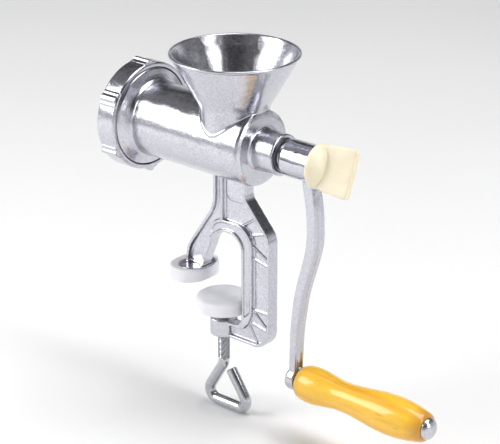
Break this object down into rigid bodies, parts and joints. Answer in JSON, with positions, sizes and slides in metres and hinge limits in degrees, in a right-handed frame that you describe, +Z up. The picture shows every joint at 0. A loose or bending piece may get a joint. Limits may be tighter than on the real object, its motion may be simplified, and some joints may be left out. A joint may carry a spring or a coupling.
{
  "type": "hand crank meat grinder",
  "caption": "Table-clamped meat grinder with a funnel hopper, horizontal barrel, feed screw, knife and perforated plate under a lugged ring, S-shaped crank with wooden grip, and screw clamp",
  "frame": {"origin": "middle of the upper jaw pad's lower face, which rests on the table top", "axes": "+X along the barrel towards the crank, -X towards the outlet, +Z up, Y across; the clamp is symmetric about the XZ plane"},
  "size_m": [0.2915, 0.0974, 0.2887],
  "materials": {
    "cast_aluminium": "bright tumbled die casting",
    "polished_aluminium": "polished",
    "steel": "bright zinc plated",
    "white_plastic": "satin moulded",
    "ivory_plastic": "moulded, slightly glossy",
    "wood": "thick yellow varnish"
  },
  "bodies": {
    "housing": {"body_casting": "cast_aluminium", "jaw_pad": "white_plastic", "bearing_bush": "steel", "plate_key": "steel"},
    "rotor": {"feed_screw": "cast_aluminium", "drive_stud": "steel", "cross_knife": "steel", "thrust_washer": "steel", "crank_arm": "polished_aluminium", "handle_spindle": "steel", "spindle_washer": "steel"},
    "grip": {"handle_grip": "wood"},
    "thumb_carriage": {"thumb_screw_stud": "steel"},
    "thumb_knob": {"thumb_screw_knob": "ivory_plastic"},
    "plate": {"cutting_plate": "steel"},
    "ring": {"retaining_ring": "cast_aluminium"},
    "clamp_head": {"clamp_pad": "white_plastic", "swivel_disc": "steel"},
    "screw": {"clamp_screw": "steel"}
  },
  "joints": [
    {"name": "crank_turn", "type": "hinge", "parent": "housing", "child": "rotor", "pos_m": [0, 0, 0.118], "axis": [1, 0, 0], "continuous": true},
    {"name": "grip_spin", "type": "hinge", "parent": "rotor", "child": "grip", "pos_m": [0, 0, -0.056], "axis": [1, 0, 0], "continuous": true},
    {"name": "thumb_slide", "type": "slide", "parent": "rotor", "child": "thumb_carriage", "axis": [1, 0, 0], "range_m": [0, 0.01]},
    {"name": "thumb_turn", "type": "hinge", "parent": "thumb_carriage", "child": "thumb_knob", "pos_m": [0, 0, 0.118], "axis": [1, 0, 0], "range_deg": [0, 2880]},
    {"name": "plate_slide", "type": "slide", "parent": "housing", "child": "plate", "axis": [-1, 0, 0], "range_m": [0, 0.0144]},
    {"name": "ring_turn", "type": "hinge", "parent": "plate", "child": "ring", "pos_m": [0, 0, 0.118], "axis": [-1, 0, 0], "range_deg": [0, 1728]},
    {"name": "clamp_slide", "type": "slide", "parent": "housing", "child": "clamp_head", "axis": [0, 0, 1], "range_m": [-0.0045, 0.0078]},
    {"name": "clamp_turn", "type": "hinge", "parent": "clamp_head", "child": "screw", "pos_m": [0.03, 0, 0], "axis": [0, 0, 1], "range_deg": [-1080, 1872]}
  ],
  "couplings": [
    {"joint": "thumb_slide", "follows": "thumb_turn", "m_per_rad": 0.00019894},
    {"joint": "plate_slide", "follows": "ring_turn", "m_per_rad": 0.00047746},
    {"joint": "clamp_slide", "follows": "clamp_turn", "m_per_rad": 0.00023873}
  ]
}
